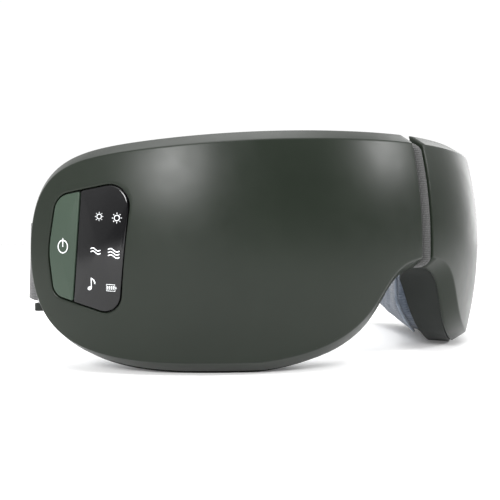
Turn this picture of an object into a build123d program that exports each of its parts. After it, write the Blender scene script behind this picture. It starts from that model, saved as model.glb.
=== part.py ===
from build123d import *
import os
from math import acos, cos, radians, sin, sqrt

os.makedirs("parts", exist_ok=True)

# Eye massager mask: two curved halves that fold backward at the nose bridge.
# Units are millimetres. +X is the wearer's-left side seen from the front, +Y is toward the head, +Z is up.
# The floor is Z = 0. The half at -X carries the control panel, and the other half is its mirror image.

# ---- Driving dimensions -------------------------------------------------------------------------
PLAN_R = 110.0            # plan radius of the face
CROWN_R = 140.0           # radius of the face in a vertical section
CROWN_Z = 39.5            # height where the face stands furthest out
TEMPLE = radians(61.0)    # direction in which the temple end and the panel are drawn
NOSE = radians(15.0)      # direction in which the nose arch is drawn
HALF_ARC = 143.6          # length of one half along the face, from the centre to the temple
TOP_CENTRE = 78.0         # height of the top edge at the centre
TOP_TEMPLE = 72.4         # height of the top edge where the temple corner starts
RIM_FOOT = 0.8            # height of the shell's lower edge
ARCH_TOP = 32.5           # height of the nose arch at the centre
ARCH_HALF = 70.0          # half width of the nose arch at the floor, along the face
ARCH_WAIST = 5.0          # control points of the arch, sideways from the centre
ARCH_SHOULDER = 28.0
ARCH_LIFT = 2.0           # height of the lower control point above the foot
END_Z = 38.0              # height where the temple end reaches furthest back

WALL = 2.0                # plastic wall
BEVEL_IN = 3.2            # how far the light rim band flares outward
BEVEL_DEEP = 4.0          # depth of the rim band
RIM_BACK = 4.8            # depth of the front shell
FRAME_FRONT = 5.1         # depths of the inner frame; its back is an upright cylinder
FRAME_BACK = 19.2
PLATE = 2.4               # back plate of the inner frame
PAD_FRONT = 19.5          # depths of the face pad, between two upright cylinders
PAD_BACK = 32.0
PAD_INSET = 3.5

HINGE_DEPTH = 7.5         # fold axis behind the face
CENTRE_GAP = 3.0          # half of the gap between the two halves
FOLD_HALF = radians(36.0)  # each half keeps this far from the plane of symmetry behind the axis
FOLD_PLAY = 0.35

KNUCKLE_R = 2.2
PIN_R = 1.0
LEAF_T = 1.4
LEAF_REACH = 16.0
HINGE_LOW = 42.0
KNUCKLE_H = 5.2
KNUCKLES = 5

STRAP_T = 2.4
STRAP_LOW = 21.0
STRAP_HIGH = 48.0
STRAP_HALF = 95.0         # the strap's temple pivot, sideways from the centre
STRAP_START = 90.0        # the strap's temple pivot, behind the front of the face
STRAP_RISE = 49.0         # how far the strap's centre lies behind its temple pivots
STRAP_EYE_R = 2.6
STRAP_PIN_R = 1.2
REAR_GAP = 2.3            # half of the gap where the two strap halves meet

STRAP_STEPS = 8
STRAP_OPEN = 13.0         # degrees of the strap's curve left out at its open pivot
LUG_H = 2.6
LUG_PLAY = 0.5
LUG_REACH = 12.0

FRAME_INSET = 1.2
STRIP_RIGHT = 2.4         # the strip is fixed to the left half and ends short of the right one
STRIP_LOW = 34.0
STRIP_HIGH = 73.5
SOCKET_ARC = 84.0
SOCKET_DEPTH = 14.0
AIR_ARC = 34.0
AIR_Z = 60.0
MOTOR_ARC = 26.0
MOTOR_LOW = 36.0
MOTOR_H = 12.0
SHAFT_R = 0.75
PUMP_ARC = 56.0
PUMP_DEPTH = 10.8

REACH = 200.0             # longer than the object, for cutting tools
DEPTH = STRAP_START + STRAP_RISE + STRAP_T / 2
FRONT_Y = -DEPTH / 2
AXIS_Y = FRONT_Y + PLAN_R
HINGE_Y = FRONT_Y + HINGE_DEPTH
PIVOT_Y = FRONT_Y + STRAP_START


# ---- Planes and places on the curved face ---------------------------------------------------------
def draw_plane(angle):
    """Upright plane whose normal points inward, turned by angle from straight back."""
    return Plane(origin=(0, FRONT_Y, 0), x_dir=(-cos(angle), sin(angle), 0), z_dir=(sin(angle), cos(angle), 0))


def span(arc, angle):
    """Distance along such a plane of the face point that lies at this length along the face."""
    return PLAN_R * (sin(arc / PLAN_R - angle) + sin(angle))


def crown_radius(depth, z):
    return PLAN_R - CROWN_R + sqrt((CROWN_R - depth) ** 2 - (z - CROWN_Z) ** 2)


def face_plane(arc, z, depth):
    """Plane tangent to the face, at a length along it, a height and a depth behind it."""
    turn = arc / PLAN_R
    radius = crown_radius(depth, z)
    origin = (-radius * sin(turn), AXIS_Y - radius * cos(turn), z)
    return Plane(origin=origin, x_dir=(-cos(turn), sin(turn), 0), z_dir=(sin(turn), cos(turn), 0))


def tube_plane(arc, z, depth):
    """Plane tangent to the upright cylinder that lies this deep behind the face's furthest point."""
    turn = arc / PLAN_R
    radius = PLAN_R - depth
    origin = (-radius * sin(turn), AXIS_Y - radius * cos(turn), z)
    return Plane(origin=origin, x_dir=(-cos(turn), sin(turn), 0), z_dir=(sin(turn), cos(turn), 0))


# ---- Building blocks of one half ------------------------------------------------------------------
def crown(depth):
    """Everything behind the face surface, moved inward by depth."""
    low, high = -15.0, 95.0
    with BuildPart() as body:
        with BuildSketch(Plane.XZ.offset(-AXIS_Y)):
            with BuildLine():
                arc = ThreePointArc(
                    (crown_radius(depth, low), low),
                    (PLAN_R - depth, CROWN_Z),
                    (crown_radius(depth, high), high),
                )
                Polyline(arc @ 1, (0, high), (0, low), arc @ 0)
            make_face()
        revolve(axis=Axis((0, AXIS_Y, 0), (0, 0, 1)))
    return body.part


def tube(depth):
    """Everything behind the upright cylinder at this depth."""
    with BuildPart() as body:
        with BuildSketch(Plane.XY.offset(-15)):
            with Locations((0, AXIS_Y)):
                Circle(PLAN_R - depth)
        extrude(amount=110)
    return body.part


def half_block(inset, foot):
    """One half as a block of full depth: temple end, top and foot, nose arch and fold clearance."""
    end = HALF_ARC - inset
    top = TOP_CENTRE - inset
    corner = TOP_TEMPLE - inset
    with BuildPart() as block:
        with BuildSketch(draw_plane(TEMPLE).offset(-REACH)):
            with BuildLine():
                crest = ThreePointArc(
                    (span(-25, TEMPLE), top),
                    (span(45, TEMPLE), top - 0.8),
                    (span(108, TEMPLE), corner),
                )
                shoulder = Bezier(
                    crest @ 1,
                    (span(130, TEMPLE), corner - 2.8),
                    (span(end, TEMPLE), corner - 6.4),
                    (span(end, TEMPLE), END_Z),
                )
                heel = Bezier(
                    shoulder @ 1,
                    (span(end, TEMPLE), 12.0),
                    (span(126, TEMPLE), foot),
                    (span(88, TEMPLE), foot),
                )
                Polyline(heel @ 1, (span(-25, TEMPLE), foot), crest @ 0)
            make_face()
        extrude(amount=2 * REACH)
        with BuildSketch(draw_plane(NOSE).offset(-REACH)):
            with BuildLine():
                arch = Bezier(
                    (ARCH_HALF + inset, foot - 1.0),
                    (ARCH_WAIST + inset, foot + ARCH_LIFT),
                    (ARCH_SHOULDER + inset, ARCH_TOP + inset),
                    (0.0, ARCH_TOP + inset),
                )
                Polyline(
                    arch @ 1,
                    (-REACH, ARCH_TOP + inset),
                    (-REACH, foot - 5),
                    (ARCH_HALF + inset, foot - 5),
                    arch @ 0,
                )
            make_face()
        extrude(amount=2 * REACH, mode=Mode.SUBTRACT)
        side = CENTRE_GAP + inset
        play = FOLD_PLAY + inset
        along = (side - play * cos(FOLD_HALF)) / sin(FOLD_HALF)
        bend = HINGE_Y - play * sin(FOLD_HALF) + along * cos(FOLD_HALF)
        with BuildSketch(Plane.XY.offset(-REACH)):
            with BuildLine():
                Polyline(
                    (-side, -REACH),
                    (-side, bend),
                    (-side - REACH * sin(FOLD_HALF), bend + REACH * cos(FOLD_HALF)),
                    (REACH, bend + REACH),
                    (REACH, -REACH),
                    (-side, -REACH),
                )
            make_face()
        extrude(amount=2 * REACH, mode=Mode.SUBTRACT)
    return block.part


def layer(inset, foot, front, back):
    """One half between two bodies, each of them everything behind one surface."""
    with BuildPart() as part:
        add(half_block(inset, foot))
        add(front, mode=Mode.INTERSECT)
        add(back, mode=Mode.SUBTRACT)
    return part.part


def face_of(part):
    """The curved face of a layer that points to the front."""
    curved = part.faces().filter_by(GeomType.REVOLUTION).sort_by(SortBy.AREA)[-2:]
    return curved.sort_by(Axis.Y)[0]


def bevelled(part):
    """The layer with the flared rim band cut round its front face, except along the centre."""
    front = face_of(part)
    rim = front.edges().sort_by(Axis.X)[:-1]
    return part.chamfer(BEVEL_IN, BEVEL_DEEP, rim, face=front)


def save(builder, label):
    builder.part.label = label
    export_step(builder.part, "parts/" + label + ".step")


def save_both(builder, name):
    """The piece of the left half, and its mirror image in the right half."""
    save(builder, "left_" + name)
    with BuildPart() as twin:
        add(builder.part)
        mirror(about=Plane.YZ, mode=Mode.REPLACE)
    save(twin, "right_" + name)


# ---- Control panel outline, on the temple plane -----------------------------------------------------
PANEL_CORNERS = [(83.0, 60.6), (109.8, 56.0), (112.4, 38.5), (110.8, 24.4), (87.4, 17.8)]
PANEL_ROUNDS = [7.0, 6.0, 30.0, 5.0, 6.0]
DIVIDER_TOP = 100.6       # where the line between lens and key meets the top and the foot of the panel
DIVIDER_FOOT = 103.4
PANEL_LINE = 0.4          # gap round the lens and the key


def panel_block(margin):
    """The panel area, grown by margin, as a block through the front wall."""
    with BuildPart() as block:
        with BuildSketch(draw_plane(TEMPLE).offset(-90)):
            with BuildLine():
                FilletPolyline(*PANEL_CORNERS, radius=PANEL_ROUNDS, close=True)
            make_face()
            if margin:
                offset(amount=margin, kind=Kind.ARC)
        extrude(amount=50)
    return block.part


def temple_side(shift):
    """Everything on the temple side of the divider, moved by shift toward the temple."""
    with BuildPart() as block:
        with BuildSketch(draw_plane(TEMPLE).offset(-100)):
            with BuildLine():
                Polyline(
                    (DIVIDER_TOP + shift, 66.0),
                    (130.0, 66.0),
                    (130.0, 12.0),
                    (DIVIDER_FOOT + shift, 12.0),
                    (DIVIDER_TOP + shift, 66.0),
                )
            make_face()
        extrude(amount=80)
    return block.part


def panel_point(along, z, depth):
    """Plane on the panel, square to the key's travel, at a distance along the temple plane."""
    centre_along = PLAN_R * sin(TEMPLE)
    centre_behind = PLAN_R * cos(TEMPLE)
    behind = centre_behind - sqrt(crown_radius(depth, z) ** 2 - (along - centre_along) ** 2)
    base = draw_plane(TEMPLE)
    return Plane(origin=base.from_local_coords((along, z, behind)), x_dir=base.x_dir, z_dir=base.z_dir)


KEY_TRAVEL = 0.6
KEY_MIDDLE = (106.6, 40.0)
KEY_STEM = 3.2
LENS_MIDDLE = (93.0, 40.0)

# ---- Bosses and screws that hold each half together ---------------------------------------------------
BOSSES = [(26, 66), (52, 68), (96, 66), (128, 60), (56, 9), (112, 11)]
BOSS_R = 2.6
SCREW_R = 1.0
SCREW_HEAD_R = 1.9
SCREW_LENGTH = 8.0

# ---- Front shells ---------------------------------------------------------------------------------
shell_outer = bevelled(layer(0.0, RIM_FOOT, crown(0.0), crown(RIM_BACK)))
shell_inner = bevelled(layer(WALL, RIM_FOOT + WALL, crown(WALL), crown(RIM_BACK + 4)))

with BuildPart() as leaf_room:
    with BuildSketch(Plane.XY.offset(HINGE_LOW - 0.3)):
        with Locations((-LEAF_REACH / 2, HINGE_Y)):
            Rectangle(LEAF_REACH, LEAF_T + 0.4)
    extrude(amount=KNUCKLES * KNUCKLE_H + 0.6)
leaf_slot = leaf_room.part


def front_shell():
    with BuildPart() as shell:
        add(shell_outer)
        add(shell_inner, mode=Mode.SUBTRACT)
        for arc, z in BOSSES:
            with BuildSketch(tube_plane(arc, z, FRAME_BACK - PLATE - 0.1)):
                Circle(BOSS_R)
            extrude(amount=-(crown_radius(WALL / 2, z) - PLAN_R + FRAME_BACK - PLATE))
            with BuildSketch(tube_plane(arc, z, FRAME_BACK)):
                Circle(SCREW_R + 0.05)
            extrude(amount=-SCREW_LENGTH - 1.5, mode=Mode.SUBTRACT)
        add(leaf_slot, mode=Mode.SUBTRACT)
    return shell.part


plain_shell = front_shell()

with BuildPart() as left_front_shell:
    add(plain_shell)
    add(panel_block(0), mode=Mode.SUBTRACT)
save(left_front_shell, "left_front_shell")

with BuildPart() as right_front_shell:
    add(plain_shell)
    mirror(about=Plane.YZ, mode=Mode.REPLACE)
save(right_front_shell, "right_front_shell")

# ---- Control panel pieces ----------------------------------------------------------------------------
with BuildPart() as display_lens:
    add(panel_block(-PANEL_LINE))
    add(temple_side(-PANEL_LINE / 2), mode=Mode.SUBTRACT)
    add(crown(0.1), mode=Mode.INTERSECT)
    add(crown(WALL), mode=Mode.SUBTRACT)
save(display_lens, "display_lens")

with BuildPart() as power_key:
    add(panel_block(-PANEL_LINE))
    add(temple_side(PANEL_LINE / 2), mode=Mode.INTERSECT)
    add(crown(0.1), mode=Mode.INTERSECT)
    add(crown(WALL), mode=Mode.SUBTRACT)
    with BuildSketch(panel_point(*KEY_MIDDLE, WALL - 0.5)):
        Circle(1.5)
    extrude(amount=KEY_STEM)
save(power_key, "power_key")

with BuildPart() as panel_seal:
    add(panel_block(2.0))
    add(panel_block(-1.5), mode=Mode.SUBTRACT)
    add(temple_side(-1.0), mode=Mode.SUBTRACT)
    add(crown(WALL + 0.1), mode=Mode.INTERSECT)
    add(crown(WALL + 1.1), mode=Mode.SUBTRACT)
save(panel_seal, "panel_seal")

with BuildPart() as light_guide:
    with BuildSketch(panel_point(*LENS_MIDDLE, 4.4)):
        Rectangle(11, 30)
    extrude(amount=4.2)
save(light_guide, "light_guide")

with BuildPart() as display_board:
    with BuildSketch(panel_point(100.0, 40.0, 10.4)):
        Rectangle(26, 34)
    extrude(amount=1.2)
save(display_board, "display_board")

with BuildPart() as tact_switch:
    with BuildSketch(panel_point(*KEY_MIDDLE, WALL - 0.5).offset(KEY_STEM + KEY_TRAVEL + 0.2)):
        Circle(1.5)
    extrude(amount=1.0)
    with BuildSketch(panel_point(*KEY_MIDDLE, WALL - 0.5).offset(KEY_STEM + KEY_TRAVEL + 1.0)):
        Rectangle(5.2, 5.2)
    extrude(amount=2.6)
save(tact_switch, "tact_switch")

# ---- Inner frames ------------------------------------------------------------------------------------
frame_outer = layer(FRAME_INSET, 0.0, crown(FRAME_FRONT), tube(FRAME_BACK))
frame_inner = layer(FRAME_INSET + WALL, WALL, crown(FRAME_FRONT - 3), tube(FRAME_BACK - PLATE))


def inner_frame():
    with BuildPart() as frame:
        add(frame_outer)
        add(frame_inner, mode=Mode.SUBTRACT)
        for arc, z in BOSSES:
            with BuildSketch(tube_plane(arc, z, FRAME_BACK - PLATE - 1.5)):
                Circle(SCREW_R + 0.3)
            extrude(amount=6.0, mode=Mode.SUBTRACT)
            with BuildSketch(tube_plane(arc, z, FRAME_BACK - 1.3)):
                Circle(SCREW_HEAD_R + 0.3)
            extrude(amount=5.0, mode=Mode.SUBTRACT)
        with BuildSketch(tube_plane(AIR_ARC, AIR_Z, FRAME_BACK - PLATE - 1.5)):
            Circle(2.0)
        extrude(amount=6.0, mode=Mode.SUBTRACT)
        add(leaf_slot, mode=Mode.SUBTRACT)
    return frame.part


plain_frame = inner_frame()

with BuildPart() as left_inner_frame:
    add(plain_frame)
    with BuildSketch(face_plane(SOCKET_ARC, CROWN_Z, SOCKET_DEPTH - 1.8)):
        with Locations((0, -CROWN_Z)):
            Rectangle(9.4, 12)
    extrude(amount=3.6, mode=Mode.SUBTRACT)
save(left_inner_frame, "left_inner_frame")

with BuildPart() as right_inner_frame:
    add(plain_frame)
    mirror(about=Plane.YZ, mode=Mode.REPLACE)
save(right_inner_frame, "right_inner_frame")

# ---- Screws: one kind, one node for each half ----------------------------------------------------------
with BuildPart() as screws:
    for arc, z in BOSSES:
        with BuildSketch(tube_plane(arc, z, FRAME_BACK - 1.2)):
            Circle(SCREW_HEAD_R)
        extrude(amount=1.1)
        with BuildSketch(tube_plane(arc, z, FRAME_BACK - 1.2)):
            Circle(SCREW_R)
        extrude(amount=-SCREW_LENGTH)
save_both(screws, "screws")

# ---- Comfort parts behind the frames --------------------------------------------------------------------
with BuildPart() as face_pad:
    add(layer(PAD_INSET, 3.0, tube(PAD_FRONT), tube(PAD_BACK)))
    add(layer(12.0, 14.0, tube(PAD_FRONT - 1), tube(PAD_FRONT + 3.6)), mode=Mode.SUBTRACT)
save_both(face_pad, "face_pad")

with BuildPart() as air_bladder:
    add(layer(13.0, 15.0, tube(PAD_FRONT), tube(PAD_FRONT + 2.4)))
save_both(air_bladder, "air_bladder")

with BuildPart() as heating_film:
    add(layer(13.0, 15.0, tube(PAD_FRONT + 2.7), tube(PAD_FRONT + 3.2)))
save_both(heating_film, "heating_film")


# ---- Fold hinge at the nose bridge ------------------------------------------------------------------------
def hinge_leaf(side, first):
    """One leaf: a plate and every second knuckle, on the side -1 or +1."""
    with BuildPart() as leaf:
        with BuildSketch(Plane.XY.offset(HINGE_LOW)):
            with Locations((side * (LEAF_REACH + KNUCKLE_R + 0.4) / 2, HINGE_Y)):
                Rectangle(LEAF_REACH - KNUCKLE_R - 0.4, LEAF_T)
        extrude(amount=KNUCKLES * KNUCKLE_H)
        for row in range(first, KNUCKLES, 2):
            with BuildSketch(Plane.XY.offset(HINGE_LOW + row * KNUCKLE_H + 0.15)):
                with Locations((0, HINGE_Y)):
                    Circle(KNUCKLE_R)
                with Locations((side * (KNUCKLE_R + 1) / 2, HINGE_Y)):
                    Rectangle(KNUCKLE_R + 1, LEAF_T)
                with Locations((0, HINGE_Y)):
                    Circle(PIN_R + 0.05, mode=Mode.SUBTRACT)
            extrude(amount=KNUCKLE_H - 0.3)
    return leaf


left_hinge_leaf = hinge_leaf(-1, 0)
save(left_hinge_leaf, "left_hinge_leaf")
right_hinge_leaf = hinge_leaf(1, 1)
save(right_hinge_leaf, "right_hinge_leaf")

with BuildPart() as hinge_pin:
    with BuildSketch(Plane.XY.offset(HINGE_LOW - 0.5)):
        with Locations((0, HINGE_Y)):
            Circle(PIN_R)
    extrude(amount=KNUCKLES * KNUCKLE_H + 1.0)
save(hinge_pin, "hinge_pin")

with BuildPart() as bridge_strip:
    with BuildSketch(Plane.XZ.offset(-FRONT_Y - 6)):
        with Locations(((STRIP_RIGHT - CENTRE_GAP) / 2, (STRIP_LOW + STRIP_HIGH) / 2)):
            Rectangle(STRIP_RIGHT + CENTRE_GAP, STRIP_HIGH - STRIP_LOW)
    extrude(amount=10)
    add(crown(1.2), mode=Mode.INTERSECT)
    add(crown(2.4), mode=Mode.SUBTRACT)
save(bridge_strip, "bridge_strip")

# ---- Electronics and drives in the cavity ---------------------------------------------------------------
with BuildPart() as main_board:
    with BuildSketch(face_plane(52, 38, 5.0)):
        Rectangle(34, 36)
    extrude(amount=1.4)
save(main_board, "main_board")

with BuildPart() as battery_cell:
    with BuildSketch(face_plane(52, 38, 8.6)):
        RectangleRounded(30, 42, 2)
    extrude(amount=7.0)
save(battery_cell, "battery_cell")

with BuildPart() as charge_socket:
    with BuildSketch(face_plane(SOCKET_ARC, CROWN_Z, SOCKET_DEPTH - 1.6)):
        with Locations((0, 4.2 - CROWN_Z)):
            Rectangle(9.0, 7.4)
    extrude(amount=3.2)
    with BuildSketch(face_plane(SOCKET_ARC, CROWN_Z, SOCKET_DEPTH - 1.25)):
        with Locations((0, 2.0 - CROWN_Z)):
            Rectangle(8.3, 8.0)
    extrude(amount=2.5, mode=Mode.SUBTRACT)
    with BuildSketch(face_plane(SOCKET_ARC, CROWN_Z, SOCKET_DEPTH - 0.35)):
        with Locations((0, 4.0 - CROWN_Z)):
            Rectangle(6.6, 5.0)
    extrude(amount=0.7)
save(charge_socket, "charge_socket")

with BuildPart() as speaker:
    with BuildSketch(face_plane(84, 42, 12.0)):
        Circle(10)
    extrude(amount=4.5)
    with BuildSketch(face_plane(84, 42, 12.0)):
        Circle(5)
    extrude(amount=-4.0)
save_both(speaker, "speaker")


def motor_place(z):
    middle = face_plane(MOTOR_ARC, CROWN_Z, 12.0).origin
    return Plane(origin=(middle.X, middle.Y, z))


with BuildPart() as vibration_motor:
    with BuildSketch(motor_place(MOTOR_LOW)):
        Circle(3.6)
    extrude(amount=MOTOR_H)
    with BuildSketch(motor_place(MOTOR_LOW + MOTOR_H)):
        Circle(SHAFT_R)
    extrude(amount=6.5)
save_both(vibration_motor, "vibration_motor")

with BuildPart() as motor_weight:
    with BuildSketch(motor_place(MOTOR_LOW + MOTOR_H + 0.6)):
        Circle(3.4)
        with Locations((0, -3.4)):
            Rectangle(8, 4.6, mode=Mode.SUBTRACT)
        Circle(SHAFT_R + 0.05, mode=Mode.SUBTRACT)
    extrude(amount=5.0)
save_both(motor_weight, "motor_weight")


def pump_place(x, z):
    middle = face_plane(PUMP_ARC, CROWN_Z, PUMP_DEPTH)
    return Plane(origin=middle.from_local_coords((x, z - CROWN_Z, 0)), x_dir=middle.x_dir, z_dir=(0, 0, 1))


with BuildPart() as pump_left_hand:
    with BuildSketch(pump_place(0, 14.0)):
        RectangleRounded(26, 10, 2)
    extrude(amount=20)
    with BuildSketch(pump_place(-4, 34.0)):
        Circle(1.2)
    extrude(amount=7)
    with BuildSketch(pump_place(9, 34.0)):
        Circle(2.0)
        Circle(1.0, mode=Mode.SUBTRACT)
    extrude(amount=4)

with BuildPart() as air_pump_body:
    add(pump_left_hand.part)
    mirror(about=Plane.YZ, mode=Mode.REPLACE)
save(air_pump_body, "air_pump_body")

with BuildPart() as rotor_left_hand:
    with BuildSketch(pump_place(-4, 35.0)):
        Circle(5.5)
        Circle(1.25, mode=Mode.SUBTRACT)
    extrude(amount=3)
    with BuildSketch(pump_place(-0.8, 38.0)):
        Circle(1.0)
    extrude(amount=4)

with BuildPart() as pump_rotor:
    add(rotor_left_hand.part)
    mirror(about=Plane.YZ, mode=Mode.REPLACE)
save(pump_rotor, "pump_rotor")

with BuildPart() as valve_left_hand:
    with BuildSketch(tube_plane(AIR_ARC, AIR_Z, FRAME_BACK - PLATE - 8.2)):
        Circle(4.0)
    extrude(amount=8.0)
    with BuildSketch(tube_plane(AIR_ARC, AIR_Z, FRAME_BACK - PLATE - 0.4)):
        Circle(1.6)
    extrude(amount=PLATE + 0.5)

with BuildPart() as release_valve:
    add(valve_left_hand.part)
    mirror(about=Plane.YZ, mode=Mode.REPLACE)
save(release_valve, "release_valve")


# ---- Strap, its lugs and pins ----------------------------------------------------------------------------
def pivot_plane(z):
    return Plane(origin=(-STRAP_HALF, PIVOT_Y, z))


def strap_point(turn, shift):
    """Point of the strap's plan curve, shifted outward; turn runs from 0 at the temple to 90 degrees."""
    x = -STRAP_HALF * cos(turn)
    y = STRAP_RISE * sin(turn)
    normal = Vector(x / STRAP_HALF ** 2, y / STRAP_RISE ** 2).normalized()
    return (x + shift * normal.X, PIVOT_Y + y + shift * normal.Y)


with BuildPart() as strap_lug:
    for low in (STRAP_LOW - LUG_PLAY - LUG_H, STRAP_HIGH + LUG_PLAY):
        with BuildSketch(pivot_plane(low)):
            Circle(STRAP_EYE_R - 0.4)
            with Locations((LUG_REACH / 2, -2.2)):
                Rectangle(LUG_REACH, 6.0)
        extrude(amount=LUG_H)
    with BuildSketch(pivot_plane(STRAP_LOW - LUG_PLAY - LUG_H)):
        with Locations((LUG_REACH / 2, -4.3)):
            Rectangle(LUG_REACH, 2.4)
    extrude(amount=STRAP_HIGH - STRAP_LOW + 2 * (LUG_H + LUG_PLAY))
    add(layer(FRAME_INSET - 0.1, 0.0, crown(-2.0), tube(FRAME_BACK + 12)), mode=Mode.SUBTRACT)
    with BuildSketch(pivot_plane(0)):
        Circle(STRAP_PIN_R + 0.03)
    extrude(amount=80, mode=Mode.SUBTRACT)
save_both(strap_lug, "strap_lug")

with BuildPart() as strap_pin:
    with BuildSketch(pivot_plane(STRAP_LOW - LUG_H)):
        Circle(STRAP_PIN_R)
    extrude(amount=STRAP_HIGH - STRAP_LOW + 2 * LUG_H)
save_both(strap_pin, "strap_pin")


def strap_band(first_turn):
    """Half of the strap as a curved band, from a turn near the temple to the gap at the rear."""
    last_turn = acos(REAR_GAP / STRAP_HALF)
    turns = [first_turn + (last_turn - first_turn) * step / STRAP_STEPS for step in range(STRAP_STEPS + 1)]
    with BuildPart() as band:
        with BuildSketch(Plane.XY.offset(STRAP_LOW)):
            with BuildLine():
                outside = Spline([strap_point(turn, STRAP_T / 2) for turn in turns])
                inside = Spline([strap_point(turn, -STRAP_T / 2) for turn in turns])
                Line(outside @ 0, inside @ 0)
                Line(outside @ 1, inside @ 1)
            make_face()
        extrude(amount=STRAP_HIGH - STRAP_LOW)
    return band.part


with BuildPart() as left_strap_band:
    add(strap_band(radians(4.0)))
    with BuildSketch(Plane.XY.offset(STRAP_LOW)):
        with Locations((-STRAP_HALF, PIVOT_Y)):
            Circle(STRAP_EYE_R)
        with Locations((-STRAP_HALF, PIVOT_Y + STRAP_EYE_R)):
            Rectangle(STRAP_T, 2 * STRAP_EYE_R)
        with Locations((-STRAP_HALF, PIVOT_Y)):
            Circle(STRAP_PIN_R + 0.06, mode=Mode.SUBTRACT)
    extrude(amount=STRAP_HIGH - STRAP_LOW)
save(left_strap_band, "left_strap_band")

with BuildPart() as right_strap_band:
    add(strap_band(radians(STRAP_OPEN)))
    mirror(about=Plane.YZ, mode=Mode.REPLACE)
save(right_strap_band, "right_strap_band")
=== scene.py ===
"""Eye massager mask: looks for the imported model, in its own frame and in metres."""
from math import atan2, cos, hypot, pi, radians, sin, sqrt, tan

import bmesh
import bpy
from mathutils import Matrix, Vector


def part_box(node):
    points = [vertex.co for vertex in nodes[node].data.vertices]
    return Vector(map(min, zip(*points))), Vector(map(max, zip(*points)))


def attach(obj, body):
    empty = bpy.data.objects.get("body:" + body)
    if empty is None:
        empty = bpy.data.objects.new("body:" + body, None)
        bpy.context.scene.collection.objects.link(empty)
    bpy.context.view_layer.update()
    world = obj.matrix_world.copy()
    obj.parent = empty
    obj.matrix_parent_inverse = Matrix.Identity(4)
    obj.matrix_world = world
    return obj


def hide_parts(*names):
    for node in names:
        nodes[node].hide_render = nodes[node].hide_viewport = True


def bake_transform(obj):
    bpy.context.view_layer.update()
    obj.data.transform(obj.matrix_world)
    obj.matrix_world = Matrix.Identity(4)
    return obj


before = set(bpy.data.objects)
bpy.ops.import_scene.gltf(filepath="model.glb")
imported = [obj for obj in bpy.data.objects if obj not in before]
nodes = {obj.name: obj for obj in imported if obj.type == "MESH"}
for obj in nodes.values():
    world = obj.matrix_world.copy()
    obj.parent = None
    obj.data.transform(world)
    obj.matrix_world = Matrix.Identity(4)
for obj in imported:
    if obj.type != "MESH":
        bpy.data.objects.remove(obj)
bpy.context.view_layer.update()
MM = 0.001

# ---- The shape's driving dimensions, in millimetres, as in the CAD model -------------------------
PLAN_R = 110.0
CROWN_R = 140.0
CROWN_Z = 39.5
TEMPLE = radians(61.0)
NOSE = radians(15.0)
HALF_ARC = 143.6
TOP_CENTRE = 78.0
TOP_TEMPLE = 72.4
RIM_FOOT = 0.8
ARCH_TOP = 32.5
ARCH_HALF = 70.0
ARCH_WAIST = 5.0
ARCH_SHOULDER = 28.0
ARCH_LIFT = 2.0
END_Z = 38.0
BEVEL_IN = 3.2
BEVEL_DEEP = 4.0
RIM_BACK = 4.8
TUBE_FROM = 15.0        # surfaces deeper than this are upright cylinders
HINGE_DEPTH = 7.5
CENTRE_GAP = 3.0
FOLD_HALF = radians(36.0)
FOLD_PLAY = 0.35
PAD_FRONT = 19.5
PAD_INSET = 3.5
STRAP_HALF = 95.0
STRAP_RISE = 49.0
STRAP_T = 2.4
STRAP_LOW = 21.0
STRAP_HIGH = 48.0
STRAP_LEAN = 2.5
FRONT_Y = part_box("left_front_shell")[0].y / MM
PIVOT_Y = (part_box("left_strap_pin")[0].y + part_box("left_strap_pin")[1].y) / 2 / MM
AXIS_Y = FRONT_Y + PLAN_R
HINGE_Y = FRONT_Y + HINGE_DEPTH


# ---- Places on the curved face -------------------------------------------------------------------
def crown_radius(depth, z):
    if depth > TUBE_FROM:
        return PLAN_R - depth
    return PLAN_R - CROWN_R + sqrt((CROWN_R - depth) ** 2 - (z - CROWN_Z) ** 2)


def on_face(arc, z, depth=0.0):
    """Point of the -X half at a length along the face, a height and a depth behind it."""
    radius = crown_radius(depth, z)
    return Vector((-radius * sin(arc / PLAN_R), AXIS_Y - radius * cos(arc / PLAN_R), z))


def on_draw(along, z, depth, angle):
    """Where a line drawn inward at this angle, from a place on the draw plane, meets that depth."""
    side = along - PLAN_R * sin(angle)
    behind = PLAN_R * cos(angle) - sqrt(crown_radius(depth, z) ** 2 - side ** 2)
    return Vector((
        -cos(angle) * along + sin(angle) * behind,
        FRONT_Y + sin(angle) * along + cos(angle) * behind,
        z,
    ))


def span(arc, angle):
    return PLAN_R * (sin(arc / PLAN_R - angle) + sin(angle))


def arc_of(point):
    return PLAN_R * atan2(-point.x, AXIS_Y - point.y)


def solve(function, low, high):
    """Where a rising function crosses zero."""
    for _ in range(50):
        middle = (low + high) / 2
        if function(middle) < 0:
            low = middle
        else:
            high = middle
    return (low + high) / 2


def circle_through(a, b, c):
    """Centre and radius of the circle through three (x, y) points."""
    d = 2 * (a[0] * (b[1] - c[1]) + b[0] * (c[1] - a[1]) + c[0] * (a[1] - b[1]))
    squares = [p[0] ** 2 + p[1] ** 2 for p in (a, b, c)]
    x = (squares[0] * (b[1] - c[1]) + squares[1] * (c[1] - a[1]) + squares[2] * (a[1] - b[1])) / d
    y = (squares[0] * (c[0] - b[0]) + squares[1] * (a[0] - c[0]) + squares[2] * (b[0] - a[0])) / d
    return x, y, hypot(a[0] - x, a[1] - y)


def height_on(circle, along):
    """Height of the upper side of a circle at a distance along the plane."""
    x, y, radius = circle
    return y + sqrt(radius ** 2 - (along - x) ** 2)


def bezier(points, t):
    a, b, c, d = points
    return tuple(
        a[i] * (1 - t) ** 3 + 3 * b[i] * t * (1 - t) ** 2 + 3 * c[i] * t * t * (1 - t) + d[i] * t ** 3
        for i in range(2)
    )


def mix(a, b, t):
    return a + (b - a) * t


# ---- The outline of one half, as four sides of a patch -------------------------------------------
ALONG = 72      # points along the top and the foot
UP = 34         # points up the centre and round the temple end


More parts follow.
